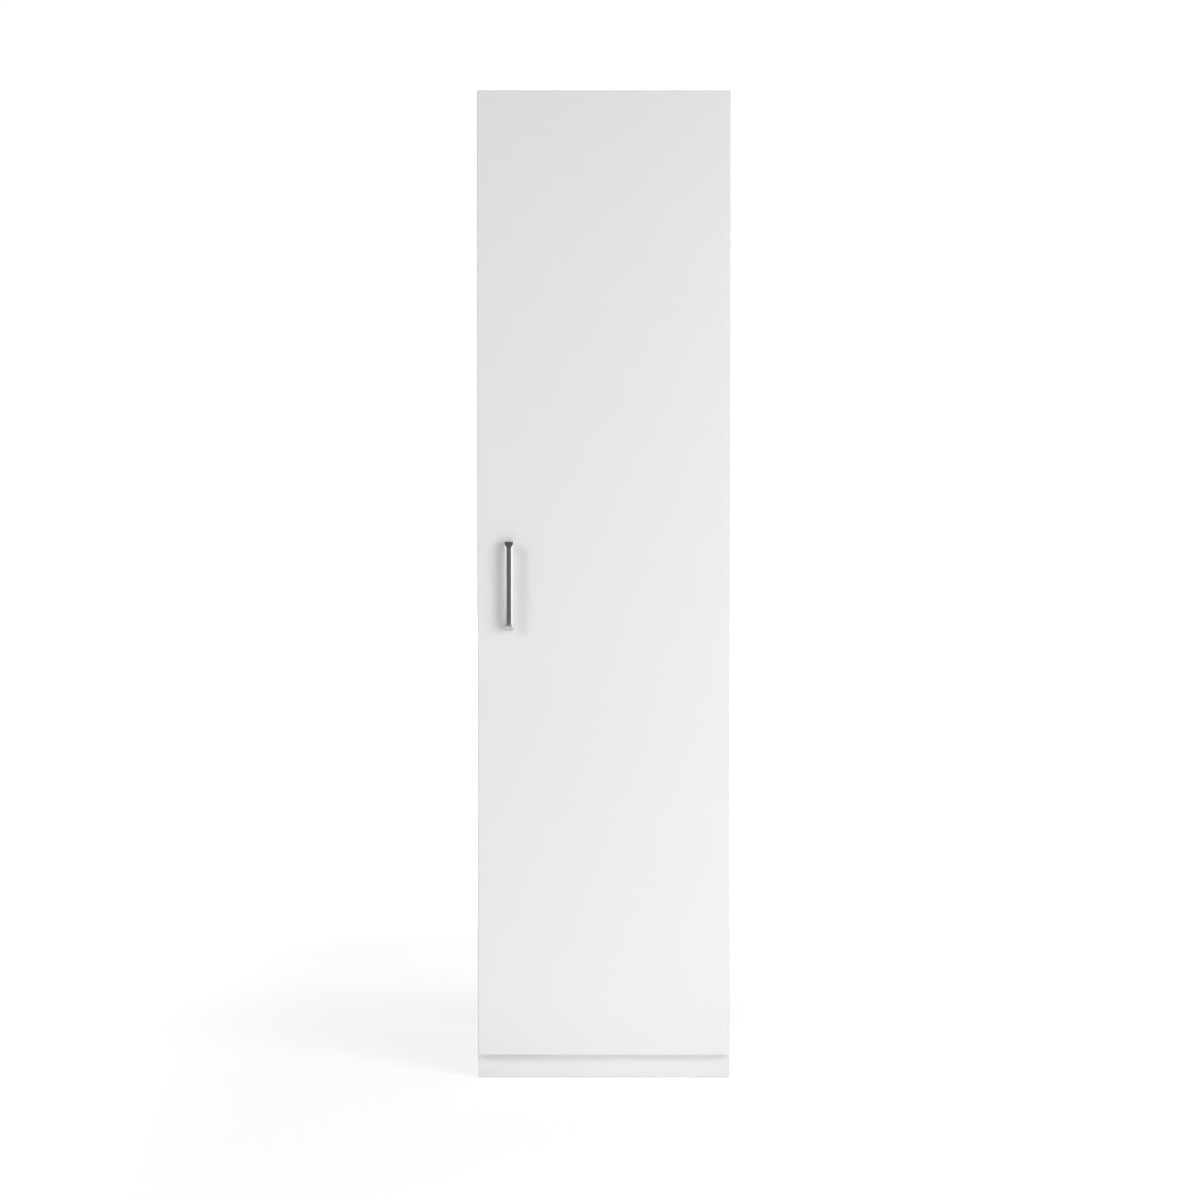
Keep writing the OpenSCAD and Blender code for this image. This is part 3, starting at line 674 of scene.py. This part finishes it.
def make_sky():
    w = bpy.data.worlds.new("studio")
    scene.world = w
    w.use_nodes = True
    nt = w.node_tree
    nt.nodes.clear()
    add = nt.nodes.new

    def link(a, b):
        nt.links.new(a, b)

    def m(op, a, b=None, c=None):
        n = add("ShaderNodeMath")
        n.operation = op
        for i, v in enumerate((a, b, c)):
            if isinstance(v, bpy.types.NodeSocket):
                link(v, n.inputs[i])
            elif v is not None:
                n.inputs[i].default_value = v
        return n.outputs[0]

    def step(v, a, b, lo=0.0, hi=1.0):
        n = add("ShaderNodeMapRange")
        n.interpolation_type = "SMOOTHSTEP"
        link(v, n.inputs["Value"])
        for k, x in zip(("From Min", "From Max", "To Min", "To Max"), (a, b, lo, hi)):
            n.inputs[k].default_value = x
        return n.outputs["Result"]

    tc = add("ShaderNodeTexCoord")
    sep = add("ShaderNodeSeparateXYZ")
    link(tc.outputs["Generated"], sep.inputs[0])
    x, y, z = sep.outputs
    # what bright metal mirrors: a dim room in front and overhead, white walls left and right
    right = m("MULTIPLY", step(x, 0.55, 0.85), step(z, 0.85, 0.45))
    left = m("MULTIPLY", step(m("MULTIPLY", x, -1.0), 0.80, 0.95), step(z, 0.60, 0.25))
    rear = m("MULTIPLY", step(y, -0.1, 0.5), 0.35)
    dim = step(z, 0.25, 0.6, SKY_DIM, SKY_OVER)
    room = m("ADD", dim, m("ADD", m("MULTIPLY", right, SKY_RIGHT), m("MULTIPLY", left, SKY_LEFT)))
    room = m("ADD", room, rear)
    lp = add("ShaderNodeLightPath")
    out = add("ShaderNodeOutputWorld")
    seen = add("ShaderNodeBackground")
    seen.inputs["Strength"].default_value = 1.02
    seen.inputs["Color"].default_value = (1, 1, 1, 1)
    gloss = add("ShaderNodeBackground")
    gloss.inputs["Color"].default_value = (1, 1, 1, 1)
    link(room, gloss.inputs["Strength"])
    soft = add("ShaderNodeBackground")
    soft.inputs["Color"].default_value = (1, 1, 1, 1)
    amb = m("MULTIPLY_ADD", step(y, -0.05, 0.6), AMBIENT_REAR, AMBIENT)
    amb.node.name = "ambient"
    link(amb, soft.inputs["Strength"])
    a, b = add("ShaderNodeMixShader"), add("ShaderNodeMixShader")
    link(lp.outputs["Is Glossy Ray"], a.inputs[0])
    link(soft.outputs[0], a.inputs[1])
    link(gloss.outputs[0], a.inputs[2])
    link(lp.outputs["Is Camera Ray"], b.inputs[0])
    link(a.outputs[0], b.inputs[1])
    link(seen.outputs[0], b.inputs[2])
    link(b.outputs[0], out.inputs["Surface"])


SKY_DIM, SKY_OVER, SKY_RIGHT, SKY_LEFT = 0.19, 0.14, 1.3, 0.93

floor = make_floor()
for group, panels in (("key", KEY), ("fill", FILL)):
    for k, (bearing, height, watts) in enumerate(panels):
        a = math.radians(bearing)
        softbox("%s_%d" % (group, k + 1), (math.sin(a) * RING, -0.286 - math.cos(a) * RING, height), (0.0, -0.286, 1.0),
                PANEL, PANEL, watts, True)
softbox("low", *LOW)
softbox("above", *ABOVE)
make_sky()

cam_data = bpy.data.cameras.new("camera")
cam = bpy.data.objects.new("camera", cam_data)
scene.collection.objects.link(cam)
cam.location = (-0.0075, -5.786, 1.0858)
cam.rotation_euler = (math.radians(90.0 - 1.399), 0.0, 0.0)
cam_data.sensor_width = 36.0
cam_data.lens = 36.0 * 2788.2 / 1200.0
cam_data.clip_start, cam_data.clip_end = 0.1, 200.0
scene.camera = cam
scene.view_settings.view_transform = "Standard"
scene.view_settings.look = "None"
scene.view_settings.exposure = 0.0
scene.view_settings.gamma = 1.0
